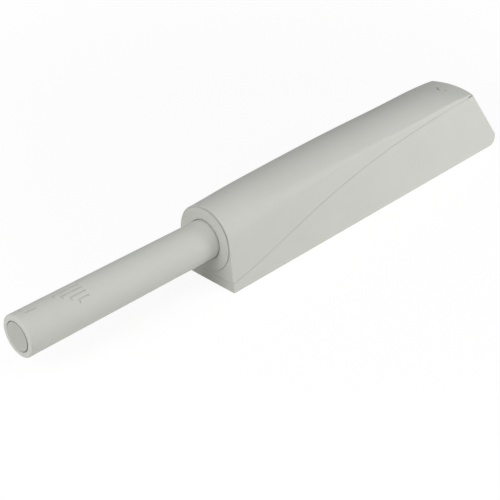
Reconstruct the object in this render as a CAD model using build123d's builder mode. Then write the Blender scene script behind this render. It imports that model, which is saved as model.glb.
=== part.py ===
"""Push-to-open touch latch in a closed, screw-on housing.

Units are millimetres. The latch lies along Y, its plunger points to -Y and +Z is up. The origin is
the centre of the two-screw pattern on the underside. The plunger is modelled fully out, at rest.
Lengths along the latch are written as stations, counted from the housing's front face to the rear.
"""

import os
from math import atan2, cos, exp, pi, radians, sin, sqrt, tan

from build123d import *

# Plunger
plunger_d = 8.0
plunger_out = 43.1  # rim of the plunger in front of the front face
plunger_edge = 0.9
stroke = 38.0
over_travel = 2.0
running_clearance = 0.05
face_gap = 0.04  # between flat faces that touch
adjust_in = 1.0
adjust_out = 3.0
end_wall = 2.0
tip_rim = 1.1  # wall round the recess in the tip
recess_depth = 1.2
thread_wall = 0.8  # wall of the plunger over the adjusting thread
thread_step = 0.35
mark_depth = 0.12
mark_width = 0.28
mark_hook = 0.75  # short leg across the front end of each setting mark
ramp_back = 13.0  # rear end of the setting marks behind the rim
ramp_first = 2.3  # length of the shortest setting mark
ramp_step = 1.1
ramp_angles = (50.0, 64.5, 79.0, 93.5)
index_angle = 85.0
index_length = 2.1
index_back = 1.6
dot_angle = 105.0
dot_d = 0.7

# Barrel
barrel_length = 76.0
barrel_wall = 0.55
guide_length = 9.0
neck_wall = 0.8  # how much thicker the barrel is where it passes the front wall
collar_rim = 0.8  # how far the collar covers the front wall round the neck
collar_proud = 0.4
collar_edge = 0.2
collar_back_edge = 0.14  # shadow line where the collar meets the front wall
mouth_radius = 1.1  # rounding of the plunger's way in
seat_clearance = 0.04
key_width = 1.0
key_height = 0.4
key_clearance = 0.08
saddle_shares = (0.29, 0.54, 0.79)  # where the barrel is held, as shares of its length
saddle_thickness = 1.2
saddle_drop = 1.8  # lower saddles end this far below the axis
saddle_lip = 2.5  # upper saddles start this far above it

# Housing
base_plate = 2.4
under_barrel = 1.5  # room between base plate and barrel
beside_barrel = 0.12
over_barrel = 1.85  # ridge above the barrel, at the front face
wall_top = 0.79  # base wall at its highest point
wall_lean = 7.54  # degrees that each side wall leans in
ridge_rise = 1.03  # how much higher the ridge is at its highest station
ridge_span = 120.0  # length of the ridge's rise and fall
shoulder_front = 6.2  # radius between top and side wall, at the front
shoulder_rear = 0.35  # and at the rear
heel_room = 16.1  # underside behind the barrel's rear end
rear_lean = 38.6  # degrees that the rear face leans forward
rear_bow_radius = 14.0  # plan radius of the rear face
heel_radius = 1.8
shell_wall = 1.3
front_wall = 3.0
rear_wall = 1.7
cover_lip = 3.2  # solid length of the cover in front of its rear edge
seam_gap = 0.05
seam_start = 1.75  # seam height at the front face
seam_drop = 1.1  # seam below the ridge's front height, at the rear edge
seam_shape = ((0.112, 0.163), (0.241, 0.384), (0.444, 0.678), (0.679, 0.884))  # shares of its run and rise
tongue_thickness = 1.1
tongue_length = 1.0
tongue_clearance = 0.1
pry_length = 1.8
pry_height = 0.26
pry_depth = 0.5
badge_back = 5.2  # middle of the direction mark in front of the rear edge
badge_size = 2.8
badge_stroke = 0.45
badge_depth = 0.25

# Fixing screws
screw_pitch = 64.0
screw_hole_d = 4.0
screw_head_d = 7.2
front_to_screw = 13.0  # station of the front screw

# Buffer in the tip
buffer_proud = 0.5
buffer_edge = 0.3
buffer_bulb_step = 0.25  # how far the bulb grips behind the end wall
buffer_bulb = 0.8

# Carriage and its cam track
rod_clearance = 0.25  # round the rod in the plunger
rod_front = -14.5  # station of the rod's front end
rod_rear = 30.0
flange_thickness = 2.0
flat_height = 1.6  # flat on the rod above the axis
track_floor = 0.6  # floor of the cam track above the axis
track_half_width = 1.4
lane_width = 0.9
island_half_width = 0.5
island_length = 6.5
notch_depth = 0.35
mouth_length = 6.0
wire_window_half = 1.75
wire_window_height = 0.95
ring_station = 1.6
ring_section = 0.44

# Spring, catch wire and plug
spring_wire = 0.6
spring_clearance = 0.7  # round the spring in the bore
spring_turns = 8
bite = 0.2  # how far joined or cut shapes run into each other
bumper_length = 1.2
leaf_thickness = 0.15
leaf_width = 0.9
leaf_length = 13.0
leaf_grip = 1.2  # how far the leaf reaches into the plug
washer_thickness = 0.5
washer_clearance = 0.35
plug_spigot = 4.0
plug_flange = 1.5
catch_wire_d = 0.7
catch_height = 2.0
catch_foot_station = 28.0
catch_bend = 0.6
catch_leg = 3.6

# Worked-out sizes, each tied to the plunger and the barrel through the walls and clearances above
thread_d = plunger_d - 2 * thread_wall
plunger_bore_d = thread_d - 2 * thread_step
rod_d = plunger_bore_d - 2 * rod_clearance
recess_d = plunger_d - 2 * tip_rim
buffer_stem_d = recess_d / 2
key_radius = plunger_d / 2 + running_clearance
bore_d = 2 * (key_radius + key_height)
barrel_d = bore_d + 2 * barrel_wall
neck_d = barrel_d + 2 * neck_wall
collar_d = neck_d + 2 * collar_rim
spring_mean_d = bore_d - 2 * spring_clearance - spring_wire
washer_bore_d = rod_d + 2 * washer_clearance
lean = radians(wall_lean)
axis_height = base_plate + under_barrel + barrel_d / 2
ridge_front = axis_height + barrel_d / 2 + over_barrel
seam_end = ridge_front - seam_drop
well_half_width = barrel_d / 2 + beside_barrel
housing_width = 2 * (well_half_width + wall_top + seam_end * tan(lean))
crown_front = 0.446 * housing_width  # radius of the top across the housing, at the front
crown_rear = 0.732 * housing_width
tail_flatten = 1.3 * housing_width  # growth of the crown's radius over the tail
tail_drop = 0.07 * ridge_front
rear_heel = barrel_length + plug_flange + heel_room  # station where the rear face would meet the underside
roof_length = rear_heel - ridge_front * tan(radians(rear_lean))
crown_fade = 0.31 * roof_length  # length over which the top flattens
shoulder_fade = 0.27 * roof_length
tail_start = 0.76 * roof_length  # where the top starts to fall and flatten towards the rear edge
tail_length = 0.24 * roof_length
front = -front_to_screw - screw_pitch / 2
barrel_rear = front + barrel_length
plunger_rim = front - plunger_out
flange_front = front + guide_length + bumper_length + 2 * face_gap
plunger_rear = flange_front - bumper_length - adjust_in - 0.2
plug_front = barrel_rear - plug_spigot
lane_middle = track_half_width - lane_width / 2
catch_foot = front + catch_foot_station
catch_pivot = plug_front + plug_spigot / 2 + 0.5
latched_foot = catch_foot - stroke  # where the wire's foot stands in the rod when latched
notch_half_angle = atan2(island_half_width, notch_depth)
notch = latched_foot + catch_wire_d / 2 / sin(notch_half_angle) + running_clearance
turning_plane = Plane(origin=(0, 0, axis_height), x_dir=(0, 1, 0), z_dir=(0, 0, 1))
latch_axis = Axis((0, 0, axis_height), (0, 1, 0))
spring_thrust_face = plug_front - face_gap - washer_thickness


def across(y, z=0.0):
    """Return the plane across the latch at y, with X to the right and Z up."""
    return Plane(origin=(0, y, z), x_dir=(1, 0, 0), z_dir=(0, -1, 0))


def along(x):
    """Return the plane along the latch at x, with Y to the right and Z up."""
    return Plane(origin=(x, 0, 0), x_dir=(0, 1, 0), z_dir=(1, 0, 0))


def mark_plane(angle, y):
    """Return the plane at the foot of a mark on the plunger, at an angle from +X towards +Z."""
    across_dir = (sin(radians(angle)), 0, -cos(radians(angle)))
    outward = (cos(radians(angle)), 0, sin(radians(angle)))
    foot_radius = plunger_d / 2 - mark_depth
    foot = (foot_radius * outward[0], y, axis_height + foot_radius * outward[2])
    return Plane(origin=foot, x_dir=across_dir, z_dir=outward)


def ridge_at(station):
    """Return the height of the housing's ridge at a station."""
    tail = max(0.0, (station - tail_start) / tail_length) ** 2
    return ridge_front + ridge_rise * sin(pi * station / ridge_span) - tail_drop * tail


def section(station, inset=0.0, foot=0.0):
    """Draw the housing's outline at a station as a face, drawn in by inset, down to height foot."""
    tail = max(0.0, (station - tail_start) / tail_length) ** 2
    crown = crown_rear - (crown_rear - crown_front) * exp(-station / crown_fade) + tail_flatten * tail
    shoulder = shoulder_rear + (shoulder_front - shoulder_rear) * exp(-station / shoulder_fade)
    centre_z = ridge_at(station) - crown
    crown -= inset
    shoulder = max(shoulder - inset, heel_radius / 6)
    half = housing_width / 2 - inset / cos(lean)
    start_x = half - shoulder * cos(lean)
    start_z = -shoulder * sin(lean) - centre_z
    along_wall = start_z * cos(lean) - start_x * sin(lean)
    reach = sqrt(along_wall**2 - start_x**2 - start_z**2 + (crown - shoulder) ** 2) - along_wall
    shoulder_x = start_x - reach * sin(lean)
    shoulder_z = start_z + reach * cos(lean)
    size = sqrt(shoulder_x**2 + shoulder_z**2)
    wall_top = (shoulder_x + shoulder * cos(lean), shoulder_z + centre_z + shoulder * sin(lean))
    crown_end = (crown * shoulder_x / size, centre_z + crown * shoulder_z / size)
    foot_x = half - foot * tan(lean)
    with BuildSketch(across(front + station)) as outline:
        with BuildLine():
            Line((-foot_x, foot), (foot_x, foot))
            Line((foot_x, foot), wall_top)
            RadiusArc(wall_top, crown_end, -shoulder)
            ThreePointArc(crown_end, (0, centre_z + crown), (-crown_end[0], crown_end[1]))
            RadiusArc((-crown_end[0], crown_end[1]), (-wall_top[0], wall_top[1]), -shoulder)
            Line((-wall_top[0], wall_top[1]), (-foot_x, foot))
        make_face()
    return outline.sketch


def seam_side(gap, far_height):
    """Draw the side view of all that lies between the seam, moved up by gap, and a far height."""
    before = front - front_wall
    behind = front + rear_heel + front_wall
    rise = seam_end - seam_start
    slope = seam_shape[0][1] * rise / (seam_shape[0][0] * roof_length)
    seam = [(before, seam_start + gap - front_wall * slope / 2)]
    for run_share, rise_share in seam_shape:
        seam.append((front + run_share * roof_length, seam_start + rise_share * rise + gap))
    seam.append((front + roof_length, seam_end + gap))
    with BuildSketch(along(-housing_width)) as side:
        with BuildLine():
            Spline(*seam)
            Polyline(seam[-1], (behind, seam_end + gap), (behind, far_height), (before, far_height), seam[0])
        make_face()
    return side.sketch


# Outer form of the closed housing, from which base and cover are cut
rear_direction = (0, -sin(radians(rear_lean)), cos(radians(rear_lean)))
outer_shares = (0, 0.1, 0.22, 0.37, 0.57, 0.765, 0.865, 0.965, 1.06, 1.2)
with BuildPart() as housing:
    for share in outer_shares:
        add(section(share * roof_length, 0, -base_plate))
    loft()
    with BuildSketch(Plane.XY) as plan:
        heel_y = front + rear_heel
        corner_y = heel_y - housing_width**2 / (2 * rear_bow_radius)
        before_y = front - housing_width
        with BuildLine():
            ThreePointArc((-housing_width, corner_y), (0, heel_y), (housing_width, corner_y))
            Line((housing_width, corner_y), (housing_width, before_y))
            Line((housing_width, before_y), (-housing_width, before_y))
            Line((-housing_width, before_y), (-housing_width, corner_y))
        make_face()
    extrude(amount=2 * housing_width, dir=rear_direction, mode=Mode.INTERSECT)
    heel = housing.edges().group_by(Axis.Z)[0].sort_by(Axis.Y)[-1]
    fillet(heel, heel_radius)

# Mounting base: plate, side walls that rise to the rear and the sloping rear wall
well_rear = front + rear_heel - rear_wall / cos(radians(rear_lean))
well_top = 2 * axis_height
rear_run = tan(radians(rear_lean))
tongue_front = front + front_wall / 3
with BuildPart() as mounting_base:
    add(housing.part)
    extrude(seam_side(0, -base_plate), amount=2 * housing_width, dir=(1, 0, 0), mode=Mode.INTERSECT)
    with BuildSketch(along(-well_half_width)):
        with BuildLine():
            Polyline(
                (front + front_wall, base_plate),
                (well_rear - base_plate * rear_run, base_plate),
                (well_rear - well_top * rear_run, well_top),
                (front + front_wall, well_top),
                close=True,
            )
        make_face()
    extrude(amount=2 * well_half_width, mode=Mode.SUBTRACT)
    with Locations((0, -screw_pitch / 2, base_plate), (0, screw_pitch / 2, base_plate)):
        CounterSinkHole(screw_hole_d / 2, screw_head_d / 2, base_plate, 90)
    for share in saddle_shares:
        with BuildSketch(across(front + share * barrel_length)):
            with Locations((0, base_plate - bite)):
                Rectangle(
                    2 * (well_half_width + bite),
                    axis_height - saddle_drop - base_plate + bite,
                    align=(Align.CENTER, Align.MIN),
                )
            with Locations((0, axis_height)):
                Circle(barrel_d / 2 + seat_clearance, mode=Mode.SUBTRACT)
        extrude(amount=saddle_thickness)
    with BuildSketch(Plane.XY.offset(seam_start - tongue_length)):
        with Locations((0, tongue_front + tongue_thickness / 2)):
            Rectangle(
                well_half_width + 2 * tongue_clearance,
                tongue_thickness + 2 * tongue_clearance,
            )
    extrude(amount=base_plate, mode=Mode.SUBTRACT)
mounting_base.part.label = "mounting_base"

# Hollow under the cover, drawn in from the outer form by the shell's wall
with BuildPart() as hollow:
    add(section(front_wall, shell_wall, -1))
    add(section(roof_length - cover_lip, shell_wall, -1))
    loft()

# Cover: front wall, arched shell, saddles over the barrel, locating tongues and pry notches
wall_inner_rear = well_rear - seam_end * rear_run
edge_half = well_half_width + wall_top
side_rear = front + rear_heel - seam_end * rear_run - edge_half**2 / (2 * rear_bow_radius)
badge_station = roof_length - badge_back
badge_slope = (ridge_at(badge_station + 1) - ridge_at(badge_station - 1)) / 2
badge_plane = Plane(
    origin=(0, front + badge_station, ridge_at(badge_station) - badge_depth),
    x_dir=(1, 0, 0),
    z_dir=(0, -badge_slope, 1),
)
with BuildPart() as cover:
    add(housing.part)
    extrude(
        seam_side(seam_gap, 2 * ridge_front),
        amount=2 * housing_width,
        dir=(1, 0, 0),
        mode=Mode.INTERSECT,
    )
    add(hollow.part, mode=Mode.SUBTRACT)
    for share in saddle_shares:
        station = share * barrel_length
        with BuildSketch(across(front + station)):
            add(section(station, shell_wall - bite, -1))
            with Locations((0, axis_height)):
                Rectangle(
                    2 * (well_half_width - bite),
                    housing_width,
                    align=(Align.CENTER, Align.MIN),
                    mode=Mode.INTERSECT,
                )
                Rectangle(housing_width, 2 * saddle_lip, mode=Mode.SUBTRACT)
                Circle(barrel_d / 2 + seat_clearance, mode=Mode.SUBTRACT)
        extrude(amount=-saddle_thickness)
    with BuildSketch(across(front - front_wall, axis_height)):
        Circle(neck_d / 2 + seat_clearance)
    extrude(amount=-2.5 * front_wall, mode=Mode.SUBTRACT)
    with BuildSketch(Plane.XY.offset(seam_start - tongue_length + tongue_clearance)):
        with Locations((0, tongue_front + tongue_thickness / 2)):
            Rectangle(well_half_width, tongue_thickness)
    extrude(amount=2 * tongue_length)
    with BuildSketch(Plane.XY.offset(seam_end - tongue_length)):
        with Locations((0, wall_inner_rear - tongue_clearance - tongue_thickness / 2)):
            Rectangle(1.6 * well_half_width, tongue_thickness)
    extrude(amount=tongue_length + 2 * bite)
    with BuildSketch(Plane.XY.offset(seam_end)):
        with Locations((-edge_half, side_rear), (edge_half, side_rear)):
            Rectangle(2 * pry_depth, 2 * pry_length)
    extrude(amount=pry_height, mode=Mode.SUBTRACT)
    with BuildSketch(badge_plane):
        with BuildLine():
            Polyline((-badge_size / 2, badge_size / 4), (0, -badge_size / 4), (badge_size / 2, badge_size / 4))
        trace(line_width=badge_stroke)
    extrude(amount=1, mode=Mode.SUBTRACT)
cover.part.label = "cover"

# Barrel: one moulded tube with its collar, guide, bore and the two keys that stop the carriage turning
collar_front = front - collar_proud - face_gap
neck_rear = front + front_wall
bore_start = front + guide_length
with BuildPart() as barrel:
    with BuildSketch(turning_plane):
        with BuildLine():
            Polyline(
                (collar_front, key_radius),
                (collar_front, collar_d / 2),
                (front - face_gap, collar_d / 2),
                (front - face_gap, neck_d / 2),
                (neck_rear, neck_d / 2),
                (neck_rear, barrel_d / 2),
                (barrel_rear, barrel_d / 2),
                (barrel_rear, bore_d / 2),
                (bore_start, bore_d / 2),
                (bore_start, key_radius),
                close=True,
            )
        make_face()
    revolve(axis=latch_axis)
    rims = barrel.edges().filter_by(GeomType.CIRCLE).sort_by(Axis.Y)
    collar_rims = rims.filter_by(lambda e: abs(e.radius - collar_d / 2) < 0.01)
    chamfer(collar_rims[1], collar_back_edge)
    chamfer(collar_rims[0], collar_edge)
    mouth = barrel.edges().group_by(Axis.Y)[0].sort_by(SortBy.LENGTH)[0]
    fillet(mouth, mouth_radius)
    with BuildSketch(across(bore_start)):
        with Locations((0, axis_height)):
            Rectangle(bore_d + bite, key_width)
            Circle(key_radius, mode=Mode.SUBTRACT)
    extrude(amount=-(spring_thrust_face - bite - bore_start))
barrel.part.label = "barrel"

# Rear plug: closes the barrel, takes the spring's thrust and pivots the catch wire
with BuildPart() as rear_plug:
    with BuildSketch(turning_plane):
        with BuildLine():
            Polyline(
                (plug_front, 0),
                (plug_front, bore_d / 2 - seat_clearance),
                (barrel_rear + face_gap, bore_d / 2 - seat_clearance),
                (barrel_rear + face_gap, barrel_d / 2),
                (barrel_rear + plug_flange, barrel_d / 2),
                (barrel_rear + plug_flange, 0),
                close=True,
            )
        make_face()
    revolve(axis=latch_axis)
    wire_hole_r = catch_wire_d / 2 + running_clearance
    slot_floor = axis_height + catch_height - catch_wire_d / 2 - 2.5 * running_clearance
    slot_middle = (plug_front - 1 + catch_pivot + wire_hole_r) / 2
    with BuildSketch(Plane.XY.offset(slot_floor)):
        with Locations((lane_middle, slot_middle)):
            Rectangle(leaf_width + 2 * bite, catch_pivot + wire_hole_r - plug_front + 1)
    extrude(amount=barrel_d, mode=Mode.SUBTRACT)
    with BuildSketch(Plane.XY.offset(axis_height + catch_height - catch_leg - 0.1)):
        with Locations((lane_middle, catch_pivot)):
            Circle(wire_hole_r)
    extrude(amount=catch_leg, mode=Mode.SUBTRACT)
rear_plug.part.label = "rear_plug"

# Steel washer under the rear end of the spring
with BuildPart() as spring_washer:
    with BuildSketch(across(spring_thrust_face)):
        with Locations((0, axis_height)):
            Circle(bore_d / 2 - 3 * seat_clearance)
            Circle(washer_bore_d / 2, mode=Mode.SUBTRACT)
    extrude(amount=-washer_thickness)
spring_washer.part.label = "spring_washer"

# Carriage: cam rod, adjusting spigot and keyed flange in one moulding
flange_rear = flange_front + flange_thickness
rod_front_y = front + rod_front
rod_rear_y = front + rod_rear
spigot_front = front + 0.5
ring_y = spigot_front + ring_station
ring_groove_r = thread_d / 2 - ring_section
with BuildPart() as carriage:
    with BuildSketch(turning_plane):
        with BuildLine():
            Polyline(
                (rod_front_y, 0),
                (rod_front_y, rod_d / 2 - 0.4),
                (rod_front_y + 0.4, rod_d / 2),
                (spigot_front, rod_d / 2),
                (spigot_front, thread_d / 2),
                (ring_y - ring_section / 2 - 0.1, thread_d / 2),
                (ring_y - ring_section / 2 - 0.1, ring_groove_r),
                (ring_y + ring_section / 2 + 0.1, ring_groove_r),
                (ring_y + ring_section / 2 + 0.1, thread_d / 2),
                (flange_front, thread_d / 2),
                (flange_front, bore_d / 2 - 2 * running_clearance),
                (flange_rear, bore_d / 2 - 2 * running_clearance),
                (flange_rear, rod_d / 2),
                (rod_rear_y - 0.4, rod_d / 2),
                (rod_rear_y, rod_d / 2 - 0.4),
                (rod_rear_y, 0),
                close=True,
            )
        make_face()
    revolve(axis=latch_axis)
    with BuildSketch(across(flange_front)):
        with Locations((0, axis_height)):
            Rectangle(bore_d + bite, key_width + 2 * key_clearance)
            Circle(key_radius - key_clearance, mode=Mode.SUBTRACT)
    extrude(amount=-flange_thickness, mode=Mode.SUBTRACT)
    with BuildSketch(Plane.XY.offset(axis_height + flat_height)):
        with Locations((0, (rod_front_y + flange_front) / 2)):
            Rectangle(2 * wire_window_half, flange_front - rod_front_y + 0.02)
        with Locations((0, (flange_rear + rod_rear_y) / 2)):
            Rectangle(rod_d, rod_rear_y - flange_rear + 0.02)
    extrude(amount=thread_d, mode=Mode.SUBTRACT)
    with BuildSketch(across(flange_front)):
        with Locations((0, axis_height + flat_height)):
            Rectangle(2 * wire_window_half, wire_window_height, align=(Align.CENTER, Align.MIN))
    extrude(amount=-flange_thickness, mode=Mode.SUBTRACT)
    pocket_front = latched_foot - over_travel - catch_wire_d / 2 - 0.3
    merge = notch + island_length
    with BuildSketch(Plane.XY.offset(axis_height + track_floor)):
        with BuildLine():
            Polyline(
                (-track_half_width, pocket_front),
                (track_half_width, pocket_front),
                (track_half_width, rod_rear_y + 1),
                (-track_half_width, rod_rear_y + 1),
                (-track_half_width, rod_rear_y - mouth_length),
                (track_half_width - lane_width, rod_rear_y - mouth_length - 2),
                (track_half_width - lane_width, merge + 2 * track_half_width),
                (-track_half_width, merge),
                close=True,
            )
        make_face()
        with BuildLine():
            Polyline(
                (-island_half_width, notch - notch_depth),
                (0, notch),
                (island_half_width, notch - notch_depth),
                (island_half_width, merge - 0.6),
                (0, merge - 0.2),
                (-island_half_width, notch + 1.2),
                close=True,
            )
        make_face(mode=Mode.SUBTRACT)
    extrude(amount=thread_d, mode=Mode.SUBTRACT)
carriage.part.label = "carriage"

# Rubber bumper on the spigot, which meets the guide when the plunger is thrown out
bumper_front = flange_front - face_gap - bumper_length
with BuildPart() as stop_bumper:
    with BuildSketch(across(bumper_front)):
        with Locations((0, axis_height)):
            Circle(bore_d / 2 - 2 * running_clearance)
            Circle(thread_d / 2 + running_clearance, mode=Mode.SUBTRACT)
            with Locations((-bore_d / 2, 0), (bore_d / 2, 0)):
                Rectangle(2 * (key_height + key_clearance), key_width + 2 * key_clearance, mode=Mode.SUBTRACT)
    extrude(amount=-bumper_length)
stop_bumper.part.label = "stop_bumper"

# Rubber ring that holds the plunger's setting
with BuildPart() as friction_ring:
    with BuildSketch(turning_plane):
        with Locations((ring_y, thread_d / 2 - ring_section / 2 + running_clearance / 2)):
            Rectangle(ring_section, ring_section)
    revolve(axis=latch_axis)
friction_ring.part.label = "friction_ring"

# Plunger: tube with a recessed tip and shallow setting marks
stem_wall_front = plunger_rim + recess_depth
bore_front = stem_wall_front + end_wall
thread_front = spigot_front - adjust_out - 0.5
with BuildPart() as plunger:
    with BuildSketch(turning_plane):
        with BuildLine():
            Polyline(
                (plunger_rim, recess_d / 2),
                (plunger_rim, plunger_d / 2),
                (plunger_rear, plunger_d / 2),
                (plunger_rear, thread_d / 2 + running_clearance),
                (thread_front, thread_d / 2 + running_clearance),
                (thread_front, plunger_bore_d / 2),
                (bore_front, plunger_bore_d / 2),
                (bore_front, buffer_stem_d / 2 + running_clearance),
                (stem_wall_front, buffer_stem_d / 2 + running_clearance),
                (stem_wall_front, recess_d / 2),
                close=True,
            )
        make_face()
    revolve(axis=latch_axis)
    rim = plunger.edges().filter_by(lambda e: abs(e.center().Y - plunger_rim) < 0.01)
    fillet(rim.sort_by(SortBy.LENGTH)[-1], plunger_edge)
    for number, angle in enumerate(ramp_angles):
        length = ramp_first + ramp_step * number
        with BuildSketch(mark_plane(angle, plunger_rim + ramp_back - length / 2)):
            Rectangle(mark_width, length)
            with Locations(((mark_hook - mark_width) / 2, (mark_width - length) / 2)):
                Rectangle(mark_hook, mark_width)
        extrude(amount=1, mode=Mode.SUBTRACT)
    with BuildSketch(mark_plane(index_angle, plunger_rim + index_back + index_length / 2)):
        Rectangle(mark_width, index_length)
    extrude(amount=1, mode=Mode.SUBTRACT)
    with BuildSketch(mark_plane(dot_angle, plunger_rim + index_back)):
        Circle(dot_d / 2)
    extrude(amount=1, mode=Mode.SUBTRACT)
plunger.part.label = "plunger"

# Rubber buffer pressed through the tip
recess_floor = stem_wall_front - face_gap
with BuildPart() as tip_buffer:
    with BuildSketch(turning_plane):
        with BuildLine():
            Polyline(
                (plunger_rim - buffer_proud, 0),
                (plunger_rim - buffer_proud, recess_d / 2 - running_clearance),
                (recess_floor, recess_d / 2 - running_clearance),
                (recess_floor, buffer_stem_d / 2),
                (bore_front + face_gap, buffer_stem_d / 2),
                (bore_front + face_gap, buffer_stem_d / 2 + buffer_bulb_step),
                (bore_front + buffer_bulb, buffer_stem_d / 2),
                (bore_front + buffer_bulb, 0),
                close=True,
            )
        make_face()
    revolve(axis=latch_axis)
    chamfer(tip_buffer.edges().sort_by(Axis.Y)[0], buffer_edge)
tip_buffer.part.label = "tip_buffer"

# Spring that throws the plunger out
spring_front = flange_rear + face_gap + spring_wire / 2
spring_rear = spring_thrust_face - face_gap - spring_wire / 2
spring_pitch = (spring_rear - spring_front) / spring_turns
with BuildPart() as ejector_spring:
    with BuildLine():
        coil = Helix(
            spring_pitch,
            spring_rear - spring_front,
            spring_mean_d / 2,
            center=(0, spring_front, axis_height),
            direction=(0, 1, 0),
        )
    with BuildSketch(Plane(origin=coil @ 0, z_dir=coil % 0)):
        RegularPolygon(spring_wire / 2, 6)
    sweep(is_frenet=True)
ejector_spring.part.label = "ejector_spring"

# Bent wire that follows the cam track and hooks behind its island
wire_z = axis_height + catch_height
foot_z = axis_height + track_floor + 0.15
leg_z = wire_z - catch_leg
with BuildPart() as catch_wire:
    with BuildLine() as wire_path:
        FilletPolyline(
            (lane_middle, catch_foot, foot_z),
            (lane_middle, catch_foot, wire_z),
            (lane_middle, catch_pivot, wire_z),
            (lane_middle, catch_pivot, leg_z),
            radius=catch_bend,
        )
    with BuildSketch(Plane.XY.offset(foot_z)):
        with Locations((lane_middle, catch_foot)):
            RegularPolygon(catch_wire_d / 2, 8)
    sweep()
catch_wire.part.label = "catch_wire"

# Leaf spring that keeps the catch wire down in its track
leaf_z = axis_height + catch_height + catch_wire_d / 2 + running_clearance
leaf_rear = plug_front + leaf_grip
with BuildPart() as leaf_spring:
    with BuildSketch(along(lane_middle - leaf_width / 2)):
        with BuildLine():
            Polyline(
                (plug_front - leaf_length, leaf_z),
                (leaf_rear, leaf_z),
                (leaf_rear, axis_height + key_radius),
                (leaf_rear - leaf_thickness, axis_height + key_radius),
                (leaf_rear - leaf_thickness, leaf_z + leaf_thickness),
                (plug_front - leaf_length, leaf_z + leaf_thickness),
                close=True,
            )
        make_face()
    extrude(amount=leaf_width)
leaf_spring.part.label = "leaf_spring"

os.makedirs("parts", exist_ok=True)
for piece in (
    mounting_base,
    cover,
    barrel,
    rear_plug,
    spring_washer,
    ejector_spring,
    catch_wire,
    leaf_spring,
    carriage,
    stop_bumper,
    friction_ring,
    plunger,
    tip_buffer,
):
    export_step(piece.part, f"parts/{piece.part.label}.step")
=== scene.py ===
"""Studio scene of the push-to-open touch latch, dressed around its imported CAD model.

The latch lies along Y with its plunger towards -Y, and +Z is up. Blender works in metres; sizes in
this file are written in millimetres and turned to metres by MM.
"""

import logging
import math
from dataclasses import dataclass, replace
from enum import Enum

import bmesh
import bpy
from mathutils import Matrix, Vector


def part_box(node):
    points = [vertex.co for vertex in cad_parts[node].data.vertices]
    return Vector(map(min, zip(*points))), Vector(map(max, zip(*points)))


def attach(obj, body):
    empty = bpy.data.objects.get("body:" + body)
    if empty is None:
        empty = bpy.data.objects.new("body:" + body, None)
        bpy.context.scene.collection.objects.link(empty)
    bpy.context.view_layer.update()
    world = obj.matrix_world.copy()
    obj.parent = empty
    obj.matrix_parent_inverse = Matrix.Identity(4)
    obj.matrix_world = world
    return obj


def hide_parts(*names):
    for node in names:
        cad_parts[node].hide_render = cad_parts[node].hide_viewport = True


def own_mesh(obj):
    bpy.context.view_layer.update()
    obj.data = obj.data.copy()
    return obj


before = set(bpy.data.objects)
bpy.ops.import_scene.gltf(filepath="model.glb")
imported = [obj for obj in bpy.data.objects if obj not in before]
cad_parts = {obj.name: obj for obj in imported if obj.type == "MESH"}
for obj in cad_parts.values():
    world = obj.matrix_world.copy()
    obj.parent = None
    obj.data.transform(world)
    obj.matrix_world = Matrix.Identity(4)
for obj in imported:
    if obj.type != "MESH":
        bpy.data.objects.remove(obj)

LOG = logging.getLogger("touch_latch")
MM = 0.001
WHITE = (1.0, 1.0, 1.0, 1.0)
# Most of a noise texture's values lie between these two
NOISE_LOW, NOISE_HIGH = 0.3, 0.7


class Slot(Enum):
    """Names of material slots, one for each finish of the scene's own pieces."""

    BARREL_PLASTIC = "barrel_plastic"
    PLUNGER_PLASTIC = "plunger_plastic"
    BUFFER_RUBBER = "buffer_rubber"
    SPRING_STEEL = "spring_steel"


def linear(hex_colour: str) -> tuple[float, float, float, float]:
    """Turn an sRGB hex colour into linear RGBA.

    Args:
        hex_colour: The colour as six hex digits after a #.

    Returns:
        The linear colour with full alpha.
    """
    channels = [int(hex_colour[i : i + 2], 16) / 255 for i in (1, 3, 5)]
    made = [c / 12.92 if c <= 0.04045 else ((c + 0.055) / 1.055) ** 2.4 for c in channels]
    return (made[0], made[1], made[2], 1.0)


def node(tree: bpy.types.NodeTree, kind: str, settings: dict | None = None) -> bpy.types.Node:
    """Add a node to a tree, with its settings and its incoming links.

    Args:
        tree: The node tree that gets the node.
        kind: The node's type name.
        settings: Attribute names or input sockets (name or number), each with its value or with the
            output socket that feeds it.

    Returns:
        The new node.
    """
    made = tree.nodes.new(kind)
    for key, value in (settings or {}).items():
        if isinstance(value, bpy.types.NodeSocket):
            tree.links.new(value, made.inputs[key])
        elif isinstance(key, str) and hasattr(made, key):
            setattr(made, key, value)
        else:
            made.inputs[key].default_value = value
    return made


def clear_tree(owner: bpy.types.Material | bpy.types.World) -> bpy.types.NodeTree:
    """Turn nodes on for a material or a world and empty its tree.

    Args:
        owner: The material or world.

    Returns:
        Its empty node tree.
    """
    owner.use_nodes = True
    owner.node_tree.nodes.clear()
    return owner.node_tree


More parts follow.
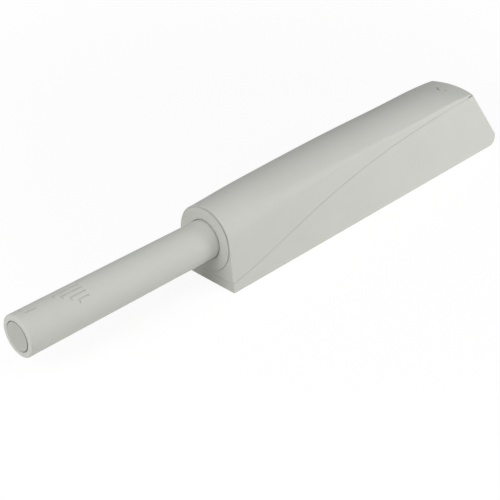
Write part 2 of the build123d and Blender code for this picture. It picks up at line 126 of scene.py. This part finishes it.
@dataclass(frozen=True)
class MouldedPlastic:
    """Injection-moulded plastic: an even colour, the mould's fine texture and softened edges."""

    name: str
    colour: str
    tint: str
    roughness: float
    grain_mm: float
    grain_depth_mm: float
    edge_mm: float
    ior: float = 1.5
    specular: float = 0.15
    cloud_mm: float = 9.0
    drag_mm: float = 2.5
    streak: tuple[float, float, float] = (1.0, 0.2, 1.0)
    sheen_spread: float = 0.06
    edge_samples: int = 6
    bump_strength: float = 0.6

    def build(self) -> bpy.types.Material:
        """Make the material.

        Returns:
            The finished material.
        """
        material = bpy.data.materials.new(self.name)
        tree = clear_tree(material)
        place = node(tree, "ShaderNodeTexCoord").outputs["Object"]
        clouds = node(
            tree,
            "ShaderNodeTexNoise",
            {"Vector": place, "Scale": 1 / (self.cloud_mm * MM), "Detail": 3.0, "Roughness": 0.55},
        )
        colour = node(
            tree,
            "ShaderNodeMix",
            {
                "data_type": "RGBA",
                0: clouds.outputs["Fac"],
                6: linear(self.colour),
                7: linear(self.tint),
            },
        )
        # The melt runs along the mould, so the sheen varies in streaks along the latch
        streaks = node(tree, "ShaderNodeMapping", {"Vector": place, "Scale": self.streak})
        sheen = node(
            tree,
            "ShaderNodeTexNoise",
            {"Vector": streaks.outputs["Vector"], "Scale": 1 / (self.drag_mm * MM), "Detail": 4.0},
        )
        roughness = node(
            tree,
            "ShaderNodeMapRange",
            {
                "Value": sheen.outputs["Fac"],
                "From Min": NOISE_LOW,
                "From Max": NOISE_HIGH,
                "To Min": self.roughness - self.sheen_spread,
                "To Max": self.roughness + self.sheen_spread,
            },
        )
        grain = node(
            tree,
            "ShaderNodeTexNoise",
            {"Vector": place, "Scale": 1 / (self.grain_mm * MM), "Detail": 2.0, "Roughness": 0.6},
        )
        edges = node(
            tree, "ShaderNodeBevel", {"samples": self.edge_samples, "Radius": self.edge_mm * MM}
        )
        bump = node(
            tree,
            "ShaderNodeBump",
            {
                "Height": grain.outputs["Fac"],
                "Normal": edges.outputs["Normal"],
                "Strength": self.bump_strength,
                "Distance": self.grain_depth_mm * MM,
            },
        )
        shader = node(
            tree,
            "ShaderNodeBsdfPrincipled",
            {
                "Base Color": colour.outputs[2],
                "Roughness": roughness.outputs["Result"],
                "Normal": bump.outputs["Normal"],
                "IOR": self.ior,
                "Specular IOR Level": self.specular,
            },
        )
        node(tree, "ShaderNodeOutputMaterial", {"Surface": shader.outputs["BSDF"]})
        return material


@dataclass(frozen=True)
class DrawnSteel:
    """Bright drawn spring steel: fine drawing lines and a thin, uneven film of oil."""

    name: str = "Drawn spring steel"
    colour: str = "#B7B5B0"
    tint: str = "#A19E97"
    roughness: float = 0.3
    line_mm: float = 0.12
    line_depth_mm: float = 0.01
    film_mm: float = 3.0
    sheen_spread: float = 0.09
    bump_strength: float = 0.5

    def build(self) -> bpy.types.Material:
        """Make the material.

        Returns:
            The finished material.
        """
        material = bpy.data.materials.new(self.name)
        tree = clear_tree(material)
        place = node(tree, "ShaderNodeTexCoord").outputs["Object"]
        film = node(
            tree,
            "ShaderNodeTexNoise",
            {"Vector": place, "Scale": 1 / (self.film_mm * MM), "Detail": 4.0},
        )
        colour = node(
            tree,
            "ShaderNodeMix",
            {
                "data_type": "RGBA",
                0: film.outputs["Fac"],
                6: linear(self.colour),
                7: linear(self.tint),
            },
        )
        roughness = node(
            tree,
            "ShaderNodeMapRange",
            {
                "Value": film.outputs["Fac"],
                "From Min": NOISE_LOW,
                "From Max": NOISE_HIGH,
                "To Min": self.roughness - self.sheen_spread,
                "To Max": self.roughness + self.sheen_spread,
            },
        )
        lines = node(
            tree,
            "ShaderNodeTexNoise",
            {"Vector": place, "Scale": 1 / (self.line_mm * MM), "Detail": 2.0},
        )
        bump = node(
            tree,
            "ShaderNodeBump",
            {
                "Height": lines.outputs["Fac"],
                "Strength": self.bump_strength,
                "Distance": self.line_depth_mm * MM,
            },
        )
        shader = node(
            tree,
            "ShaderNodeBsdfPrincipled",
            {
                "Base Color": colour.outputs[2],
                "Roughness": roughness.outputs["Result"],
                "Normal": bump.outputs["Normal"],
                "Metallic": 1.0,
            },
        )
        node(tree, "ShaderNodeOutputMaterial", {"Surface": shader.outputs["BSDF"]})
        return material


# Moulded ABS from a spark-eroded mould: matte, light grey. The real texture of about 0.05 mm is too
# fine to show, so it is drawn at 0.3 mm.
HOUSING_ABS = MouldedPlastic(
    "Moulded ABS, light grey",
    colour="#CFD0CA",
    tint="#C9CAC4",
    roughness=0.72,
    grain_mm=0.3,
    grain_depth_mm=0.012,
    edge_mm=0.12,
)
# Moulded acetal: the same grey, a little smoother and more even than the housing, for it slides
SLIDING_ACETAL = MouldedPlastic(
    "Moulded acetal, light grey",
    colour="#CDCEC8",
    tint="#C9CAC4",
    roughness=0.6,
    grain_mm=0.25,
    grain_depth_mm=0.006,
    edge_mm=0.1,
)
# The tip's rim, cut crisp at the end of the moulding
RIM_ACETAL = replace(SLIDING_ACETAL, name="Moulded acetal, crisp rim", edge_mm=0.01)
# Uncoloured acetal of the inner pieces: milky white with a satin sheen
INNER_ACETAL = MouldedPlastic(
    "Moulded acetal, natural",
    colour="#E2E0D9",
    tint="#DAD8D0",
    roughness=0.42,
    grain_mm=0.25,
    grain_depth_mm=0.006,
    edge_mm=0.08,
)
# Soft moulded elastomer of the tip: dull, with a faint bloom
BUFFER_ELASTOMER = MouldedPlastic(
    "Moulded elastomer, grey",
    colour="#BCBDB7",
    tint="#B5B6B0",
    roughness=0.75,
    grain_mm=0.35,
    grain_depth_mm=0.015,
    edge_mm=0.12,
)
# Black nitrile rubber of the friction ring and the bumper: dull, lightly greased
NITRILE_RUBBER = MouldedPlastic(
    "Nitrile rubber, black",
    colour="#1D1D1D",
    tint="#262625",
    roughness=0.6,
    grain_mm=0.2,
    grain_depth_mm=0.01,
    edge_mm=0.05,
)
SPRING_STEEL = DrawnSteel()


@dataclass
class Housing:
    """The screw-on housing: mounting base and cover, one moulding each."""

    nodes: tuple[str, ...] = ("mounting_base", "cover")

    def dress(self) -> None:
        """Give both mouldings their finish."""
        material = HOUSING_ABS.build()
        for name in self.nodes:
            put_on(name, material)


def rounding(
    middle: tuple[float, float], radius: float, start_deg: float, end_deg: float, steps: int = 6
) -> list[tuple[float, float]]:
    """Draw an arc of an outline.

    Args:
        middle: Its centre, as a place along the latch and a radius from the axis, in mm.
        radius: Its radius in mm.
        start_deg: The angle of its first point, from outwards towards the rear.
        end_deg: The angle of its last point.
        steps: How many parts it has.

    Returns:
        Its points.
    """
    angles = [math.radians(start_deg + (end_deg - start_deg) * i / steps) for i in range(steps + 1)]
    return [(middle[0] + radius * math.sin(a), middle[1] + radius * math.cos(a)) for a in angles]


def turned(
    name: str, outline: list[tuple[float, float]], height_mm: float, sides: int = 96
) -> bpy.types.Object:
    """Turn a closed outline about the latch's axis.

    Args:
        name: The name of the piece.
        outline: Its corners, each a place along the latch and a radius from the axis, in mm.
        height_mm: The height of the axis.
        sides: How many faces it has around.

    Returns:
        The piece, closed, with its faces outwards and its place in its mesh.
    """
    shape = bmesh.new()
    rings = []
    for place, radius in outline:
        ring = []
        for side in range(sides):
            angle = 2 * math.pi * side / sides
            spot = Vector((radius * math.cos(angle), place, height_mm + radius * math.sin(angle)))
            ring.append(shape.verts.new(spot * MM))
        rings.append(ring)
    for ring, following in zip(rings, rings[1:] + rings[:1]):
        for side in range(sides):
            after = (side + 1) % sides
            shape.faces.new((ring[side], ring[after], following[after], following[side]))
    return closed_piece(name, shape)


def closed_piece(name: str, shape: bmesh.types.BMesh, sharp_deg: float = 30.0) -> bpy.types.Object:
    """Finish a closed shape: outward faces, smooth shading and sharp edges.

    Args:
        name: The name of the piece.
        shape: The shape, which is used up.
        sharp_deg: The angle from which an edge stays sharp.

    Returns:
        The piece, with its place in its mesh.
    """
    bmesh.ops.remove_doubles(shape, verts=shape.verts, dist=1e-7)
    bmesh.ops.recalc_face_normals(shape, faces=shape.faces)
    mesh = bpy.data.meshes.new(name)
    shape.to_mesh(mesh)
    shape.free()
    mesh.shade_smooth()
    mesh.set_sharp_from_angle(angle=math.radians(sharp_deg))
    piece = bpy.data.objects.new(name, mesh)
    bpy.context.scene.collection.objects.link(piece)
    return piece


@dataclass
class Latch:
    """The latch unit in the housing: barrel, plunger and buffer, with what works inside.

    Sizes are in mm. A place along the latch is given from the front end of the CAD piece that a turned
    piece stands for or sits on.
    """

    inner: tuple[str, ...] = ("rear_plug", "carriage")
    steel: tuple[str, ...] = ("spring_washer", "catch_wire", "leaf_spring")
    rubber: tuple[str, ...] = ("friction_ring", "stop_bumper")
    collar_back: float = 0.24
    collar_crown: float = 0.09
    crown_steps: int = 6
    groove_depth: float = 0.2
    collar_step: float = 0.44
    mouth_radius: float = 0.3
    way_radius: float = 4.05
    neck_radius: float = 5.8
    neck_rear: float = 3.44
    tube_radius: float = 5.0
    bore_radius: float = 4.45
    bore_start: float = 9.44
    key_width: float = 1.0
    key_root: float = 4.7
    key_end_gap: float = 0.2
    key_steps: int = 6
    rim_edge: float = 0.3
    rim_inner: float = 2.95
    rim_proud: float = 0.4
    rim_length: float = 1.1
    rim_skin: float = 0.004
    disc_radius: float = 2.78
    disc_edge: float = 0.06
    disc_rear: float = 1.66
    stem_radius: float = 1.45
    bulb_front: float = 3.74
    bulb_step: float = 0.25

    def dress(self, steel: bpy.types.Material) -> None:
        """Give each CAD piece its finish.

        Args:
            steel: The finish of the steel pieces, shared with the spring.
        """
        for names, material in (
            (("plunger",), SLIDING_ACETAL.build()),
            (self.inner, INNER_ACETAL.build()),
            (self.steel, steel),
            (self.rubber, NITRILE_RUBBER.build()),
        ):
            for name in names:
                put_on(name, material)

    def barrel(self) -> bpy.types.Object:
        """Turn the barrel with its slightly crowned collar and the shadow groove behind it.

        Returns:
            The piece, in the CAD barrel's place.
        """
        low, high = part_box("barrel")
        start, rear = low.y / MM, high.y / MM
        front = start + self.collar_back
        outer = (high.x - low.x) / 2 / MM
        ring = self.way_radius + self.mouth_radius
        outline = rounding((front + self.mouth_radius, ring), self.mouth_radius, 180, 270)
        crown = outer - ring
        for step in range(1, self.crown_steps + 1):
            angle = math.pi / 2 * step / self.crown_steps
            place = front + self.collar_crown * (1 - math.cos(angle))
            outline.append((place, ring + crown * math.sin(angle)))
        outline += [
            (front + self.collar_crown, outer - self.groove_depth),
            (start + self.collar_step, outer - self.groove_depth),
            (start + self.collar_step, self.neck_radius),
            (start + self.neck_rear, self.neck_radius),
            (start + self.neck_rear, self.tube_radius),
            (rear, self.tube_radius),
            (rear, self.bore_radius),
            (start + self.bore_start, self.bore_radius),
            (start + self.bore_start, self.way_radius),
        ]
        piece = turned("barrel_shell", outline, (low.z + high.z) / 2 / MM)
        return self.settle(piece, SLIDING_ACETAL, Slot.BARREL_PLASTIC, "cover_unit", "barrel")

    def keys(self) -> bpy.types.Object:
        """Build the two keys in the barrel's bore, which stop the carriage from turning.

        Returns:
            The piece, which rides on the latch unit.
        """
        low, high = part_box("barrel")
        start = low.y / MM + self.bore_start
        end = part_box("spring_washer")[0].y / MM - self.key_end_gap
        height = (low.z + high.z) / 2 / MM
        half = math.asin(self.key_width / 2 / self.way_radius)
        angles = [half * (2 * step / self.key_steps - 1) for step in range(self.key_steps + 1)]
        section = [(self.way_radius * math.cos(a), self.way_radius * math.sin(a)) for a in angles]
        section += [(self.key_root, self.key_width / 2), (self.key_root, -self.key_width / 2)]
        shape = bmesh.new()
        for way in (-1, 1):
            near, far = (
                [shape.verts.new(Vector((way * x, place, height + z)) * MM) for x, z in section]
                for place in (start, end)
            )
            shape.faces.new(near)
            shape.faces.new(far)
            for i in range(len(section)):
                shape.faces.new((near[i - 1], near[i], far[i], far[i - 1]))
        piece = closed_piece("barrel_keys", shape)
        return self.settle(piece, SLIDING_ACETAL, Slot.BARREL_PLASTIC, "cover_unit")

    def rim(self) -> bpy.types.Object:
        """Turn the crisp rim of the plunger's tip.

        Returns:
            The piece, which rides on the plunger.
        """
        low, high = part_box("plunger")
        start, outer = low.y / MM - self.rim_proud, (high.x - low.x) / 2 / MM + self.rim_skin
        outline = rounding((start + self.rim_edge, outer - self.rim_edge), self.rim_edge, -90, 0)
        outline += [
            (start + self.rim_length, outer),
            (start + self.rim_length + self.rim_edge, outer - self.rim_edge),
            (start + self.rim_edge, self.rim_inner),
            (start, self.rim_inner),
        ]
        piece = turned("tip_rim", outline, (low.z + high.z) / 2 / MM)
        return self.settle(piece, RIM_ACETAL, Slot.PLUNGER_PLASTIC, "plunger")

    def buffer(self) -> bpy.types.Object:
        """Turn the soft disc of the tip with its stem and bulb.

        Returns:
            The piece, in the CAD buffer's place.
        """
        low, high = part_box("tip_buffer")
        start, rear = low.y / MM, high.y / MM
        outline = [
            (start, 0.0),
            (start, self.disc_radius - self.disc_edge),
            (start + self.disc_edge, self.disc_radius),
            (start + self.disc_rear, self.disc_radius),
            (start + self.disc_rear, self.stem_radius),
            (start + self.bulb_front, self.stem_radius),
            (start + self.bulb_front, self.stem_radius + self.bulb_step),
            (rear, self.stem_radius),
            (rear, 0.0),
        ]
        piece = turned("tip_disc", outline, (low.z + high.z) / 2 / MM)
        return self.settle(piece, BUFFER_ELASTOMER, Slot.BUFFER_RUBBER, "buffer", "tip_buffer")

    def settle(
        self, piece: bpy.types.Object, finish: MouldedPlastic, slot: Slot, body: str, *replaced: str
    ) -> bpy.types.Object:
        """Dress a turned piece and let it ride.

        Args:
            piece: The piece.
            finish: Its finish.
            slot: Not used.
            body: The CAD body that it rides on.
            replaced: The CAD nodes that it stands for.

        Returns:
            The piece.
        """
        piece.data.materials.append(finish.build())
        if replaced:
            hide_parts(*replaced)
        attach(piece, body)
        LOG.info("%s: %s, %d faces", piece.name, finish.name, len(piece.data.polygons))
        return piece


@dataclass
class EjectorSpring:
    """The coil spring with closed ends, in place of the plain coil of the CAD model. Sizes in mm."""

    node: str = "ejector_spring"
    body: str = "cover_unit"
    joint: str = "latch_stroke"
    wire: float = 0.6
    turns: float = 17.0
    closed_turns: float = 1.5
    sides: int = 12
    steps_per_turn: int = 28
    stroke: float = 40.0
    name: str = "coil_spring"

    def tree(self, steel: bpy.types.Material) -> bpy.types.NodeTree:
        """Build the node tree that winds the wire from its sizes.

        Args:
            steel: The finish that the tree sets.

        Returns:
            The Geometry Nodes tree.
        """
        tree = bpy.data.node_groups.new("Wound spring", "GeometryNodeTree")
        for label in ("Radius", "Length", "Wire", "Turns", "Closed turns", "Height", "Rear end"):
            tree.interface.new_socket(label, in_out="INPUT", socket_type="NodeSocketFloat")
        for label in ("Steps", "Sides"):
            tree.interface.new_socket(label, in_out="INPUT", socket_type="NodeSocketInt")
        tree.interface.new_socket("Geometry", in_out="OUTPUT", socket_type="NodeSocketGeometry")
        given = node(tree, "NodeGroupInput").outputs
        kind = "ShaderNodeMath"
        line = node(tree, "GeometryNodeCurvePrimitiveLine").outputs["Curve"]
        steps = node(
            tree,
            "GeometryNodeResampleCurve",
            {"mode": "COUNT", "Curve": line, "Count": given["Steps"]},
        )
        share = node(tree, "GeometryNodeSplineParameter").outputs["Factor"]
        # Closed turns rise by one wire each, and the open turns share the rest of the length
        closed = node(tree, kind, {"operation": "DIVIDE", 0: given["Closed turns"], 1: given["Turns"]})
        until = node(tree, kind, {"operation": "SUBTRACT", 0: 1.0, 1: closed.outputs[0]})
        closed_rise = node(
            tree, kind, {"operation": "MULTIPLY", 0: given["Closed turns"], 1: given["Wire"]}
        ).outputs[0]
        both_rises = node(tree, kind, {"operation": "MULTIPLY", 0: closed_rise, 1: 2.0}).outputs[0]
        open_rise = node(
            tree, kind, {"operation": "SUBTRACT", 0: given["Length"], 1: both_rises}
        ).outputs[0]
        height = None
        for start, end, rise in (
            (0.0, closed.outputs[0], closed_rise),
            (closed.outputs[0], until.outputs[0], open_rise),
            (until.outputs[0], 1.0, closed_rise),
        ):
            climb = node(
                tree,
                "ShaderNodeMapRange",
                {"Value": share, "From Min": start, "From Max": end, "To Min": 0.0, "To Max": rise},
            ).outputs["Result"]
            height = climb if height is None else node(tree, kind, {0: height, 1: climb}).outputs[0]
        way = node(tree, kind, {"operation": "MULTIPLY", 0: share, 1: given["Turns"]}).outputs[0]
        angle = node(tree, kind, {"operation": "MULTIPLY", 0: way, 1: 2 * math.pi}).outputs[0]
        side = node(tree, kind, {"operation": "COSINE", 0: angle}).outputs[0]
        lift = node(tree, kind, {"operation": "SINE", 0: angle}).outputs[0]
        centred = {"operation": "MULTIPLY_ADD", 1: given["Radius"], 2: given["Height"]}
        spot = node(
            tree,
            "ShaderNodeCombineXYZ",
            {
                "X": node(
                    tree, kind, {"operation": "MULTIPLY", 0: side, 1: given["Radius"]}
                ).outputs[0],
                "Y": node(
                    tree, kind, {"operation": "SUBTRACT", 0: given["Rear end"], 1: height}
                ).outputs[0],
                "Z": node(tree, kind, {**centred, 0: lift}).outputs[0],
            },
        )
        wound = node(
            tree,
            "GeometryNodeSetPosition",
            {"Geometry": steps.outputs["Curve"], "Position": spot.outputs["Vector"]},
        )
        half = node(tree, kind, {"operation": "MULTIPLY", 0: given["Wire"], 1: 0.5}).outputs[0]
        ring = node(
            tree, "GeometryNodeCurvePrimitiveCircle", {"Resolution": given["Sides"], "Radius": half}
        )
        swept = node(
            tree,
            "GeometryNodeCurveToMesh",
            {
                "Curve": wound.outputs["Geometry"],
                "Profile Curve": ring.outputs["Curve"],
                "Fill Caps": True,
            },
        )
        real = node(tree, "GeometryNodeRealizeInstances", {"Geometry": swept.outputs["Mesh"]})
        dressed = node(
            tree, "GeometryNodeSetMaterial", {"Geometry": real.outputs["Geometry"], "Material": steel}
        )
        node(tree, "NodeGroupOutput", {"Geometry": dressed.outputs["Geometry"]})
        return tree

    def build(self, steel: bpy.types.Material) -> bpy.types.Object:
        """Wind the spring in the CAD spring's place and let it stand for that node.

        Args:
            steel: The spring's finish.

        Returns:
            The spring's object, riding on the latch unit.
        """
        low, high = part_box(self.node)
        outer = (high.x - low.x) / 2
        wire = self.wire * MM
        sizes = {
            "Radius": outer - wire / 2,
            "Length": high.y - low.y - wire,
            "Wire": wire,
            "Turns": self.turns,
            "Closed turns": self.closed_turns,
            "Height": (low.z + high.z) / 2,
            "Rear end": high.y - wire / 2,
            "Steps": int(self.turns * self.steps_per_turn),
            "Sides": self.sides,
        }
        piece = made_by_nodes(self.name, self.tree(steel), sizes)
        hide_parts(self.node)
        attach(piece, self.body)
        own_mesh(piece)
        return piece


def made_by_nodes(name: str, tree: bpy.types.NodeTree, sizes: dict[str, float]) -> bpy.types.Object:
    """Run a Geometry Nodes tree with its sizes and keep the result as a plain mesh.

    Args:
        name: The name of the piece.
        tree: The tree that makes it.
        sizes: The value of each named input.

    Returns:
        The piece, with its place in its mesh and no modifier.
    """
    piece = bpy.data.objects.new(name, bpy.data.meshes.new(name))
    bpy.context.scene.collection.objects.link(piece)
    modifier = piece.modifiers.new("Shape", "NODES")
    modifier.node_group = tree
    for item in tree.interface.items_tree:
        if item.item_type == "SOCKET" and item.in_out == "INPUT":
            modifier[item.identifier] = sizes[item.name]
    bpy.context.view_layer.update()
    evaluated = piece.evaluated_get(bpy.context.evaluated_depsgraph_get())
    mesh = bpy.data.meshes.new_from_object(evaluated)
    piece.modifiers.clear()
    piece.data = mesh
    mesh.name = name
    mesh.shade_smooth()
    return piece


def put_on(name: str, material: bpy.types.Material) -> None:
    """Give a CAD node its finish.

    Args:
        name: The node's name.
        material: Its finish.
    """
    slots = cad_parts[name].data.materials
    slots.clear()
    slots.append(material)
    LOG.info("%s: %s", name, material.name)


@dataclass(frozen=True)
class SoftBox:
    """A round soft box aimed at the latch.

    Its angles are the turn from +X towards +Y and the height above the floor.
    """

    name: str
    turn_deg: float
    height_deg: float
    watts: float
    away_mm: float = 300.0
    width_mm: float = 200.0

    def hang(self, aim_mm: tuple[float, float, float]) -> None:
        """Hang the light.

        Args:
            aim_mm: The point that it is aimed at.
        """
        lamp = bpy.data.lights.new(self.name, "AREA")
        lamp.shape = "DISK"
        lamp.size = self.width_mm * MM
        lamp.energy = self.watts
        turn, height = math.radians(self.turn_deg), math.radians(self.height_deg)
        level = math.cos(height)
        towards = Vector((math.cos(turn) * level, math.sin(turn) * level, math.sin(height)))
        hung = bpy.data.objects.new(self.name, lamp)
        hung.location = (Vector(aim_mm) + towards * self.away_mm) * MM
        hung.rotation_euler = towards.to_track_quat("Z", "Y").to_euler()
        bpy.context.scene.collection.objects.link(hung)


@dataclass
class Studio:
    """White floor and backdrop, soft boxes round the latch and an even white surround."""

    floor_half_mm: float = 3000.0
    floor_colour: str = "#F4F4F2"
    aim_mm: tuple[float, float, float] = (0.0, -15.0, 10.0)
    lights: tuple[SoftBox, ...] = (
        SoftBox("rear_light", turn_deg=45.0, height_deg=12.0, watts=0.435),
        SoftBox("side_light", turn_deg=0.0, height_deg=28.0, watts=0.12),
        SoftBox("tip_light", turn_deg=-97.0, height_deg=20.0, watts=0.23),
        SoftBox("front_light", turn_deg=-90.0, height_deg=45.0, watts=0.235),
        SoftBox("top_light", turn_deg=0.0, height_deg=65.0, watts=0.24),
    )
    surround: float = 0.105
    shadow_share: float = 0.12
    glow: float = 1.03
    far_glow: float = 1.12
    near_mm: float = 65.0
    far_mm: float = 260.0

    def seen_white(
        self, tree: bpy.types.NodeTree, plain: bpy.types.NodeSocket, white: bpy.types.NodeSocket
    ) -> bpy.types.NodeSocket:
        """Mix two shaders so that the camera and mirror-like rays see the second.

        Args:
            tree: The tree of the material or the world.
            plain: What lights the object.
            white: What is seen as the background.

        Returns:
            The mixed shader.
        """
        path = node(tree, "ShaderNodeLightPath").outputs
        seen = path["Is Camera Ray"]
        for ray in ("Is Glossy Ray", "Is Transmission Ray"):
            either = {"operation": "MAXIMUM", 0: seen, 1: path[ray]}
            seen = node(tree, "ShaderNodeMath", either).outputs[0]
        return node(tree, "ShaderNodeMixShader", {0: seen, 1: plain, 2: white}).outputs[0]

    def floor(self) -> None:
        """Lay the floor under the latch."""
        half = self.floor_half_mm * MM
        mesh = bpy.data.meshes.new("floor")
        corner_places = [(-half, -half, 0), (half, -half, 0), (half, half, 0), (-half, half, 0)]
        mesh.from_pydata(corner_places, [], [(0, 1, 2, 3)])
        floor = bpy.data.objects.new("floor", mesh)
        bpy.context.scene.collection.objects.link(floor)
        material = bpy.data.materials.new("White paper sweep")
        tree = clear_tree(material)
        paper = node(tree, "ShaderNodeBsdfDiffuse", {"Color": linear(self.floor_colour)}).outputs[0]
        # Away from the latch the lamps fall off, so the paper's glow makes up for it there
        place = node(tree, "ShaderNodeTexCoord").outputs["Object"]
        away = node(tree, "ShaderNodeVectorMath", {"operation": "LENGTH", 0: place}).outputs["Value"]
        strength = node(
            tree,
            "ShaderNodeMapRange",
            {
                "Value": away,
                "From Min": self.near_mm * MM,
                "From Max": self.far_mm * MM,
                "To Min": self.glow,
                "To Max": self.far_glow,
            },
        )
        glow = node(tree, "ShaderNodeEmission", {"Strength": strength.outputs["Result"]}).outputs[0]
        # A small share of the paper's own shading stays in, so that the latch keeps its soft shadow
        lit = node(tree, "ShaderNodeMixShader", {0: self.shadow_share, 1: glow, 2: paper}).outputs[0]
        node(tree, "ShaderNodeOutputMaterial", {"Surface": self.seen_white(tree, paper, lit)})
        mesh.materials.append(material)

    def world(self) -> None:
        """Make the even white surround."""
        world = bpy.data.worlds.new("White surround")
        bpy.context.scene.world = world
        tree = clear_tree(world)
        lit = {"Color": WHITE, "Strength": self.surround}
        plain = node(tree, "ShaderNodeBackground", lit).outputs[0]
        seen = node(tree, "ShaderNodeBackground", {"Color": WHITE, "Strength": 1.0}).outputs[0]
        node(tree, "ShaderNodeOutputWorld", {"Surface": self.seen_white(tree, plain, seen)})

    def build(self) -> None:
        """Make floor, surround and lights."""
        self.floor()
        self.world()
        for light in self.lights:
            light.hang(self.aim_mm)
            LOG.info("%s: %.2f W", light.name, light.watts)
        bpy.context.scene.view_settings.view_transform = "Standard"


@dataclass
class PhotoCamera:
    """The camera at the photograph's viewpoint, worked out from the latch's outline in it."""

    place_mm: tuple[float, float, float] = (128.47, -166.66, 115.86)
    forward: tuple[float, float, float] = (-0.58803, 0.61400, -0.52651)
    lens_mm: float = 77.83
    sensor_mm: float = 36.0
    nearest_m: float = 0.01
    farthest_m: float = 20.0

    def build(self) -> None:
        """Set the camera up and make it the scene's own."""
        data = bpy.data.cameras.new("photo_camera")
        data.lens = self.lens_mm
        data.sensor_width = self.sensor_mm
        data.clip_start = self.nearest_m
        data.clip_end = self.farthest_m
        camera = bpy.data.objects.new("photo_camera", data)
        turn = Vector(self.forward).to_track_quat("-Z", "Y").to_matrix().to_4x4()
        camera.matrix_world = Matrix.Translation(Vector(self.place_mm) * MM) @ turn
        bpy.context.scene.collection.objects.link(camera)
        bpy.context.scene.camera = camera


def main() -> None:
    """Build the scene in order."""
    logging.basicConfig(level=logging.INFO, format="%(name)s %(message)s")
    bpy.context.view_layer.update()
    steel = SPRING_STEEL.build()
    Housing().dress()
    latch = Latch()
    latch.dress(steel)
    latch.barrel()
    latch.keys()
    latch.rim()
    latch.buffer()
    spring = EjectorSpring().build(steel)
    LOG.info("%s: %d faces", spring.name, len(spring.data.polygons))
    Studio().build()
    PhotoCamera().build()


if __name__ == "__main__":
    main()
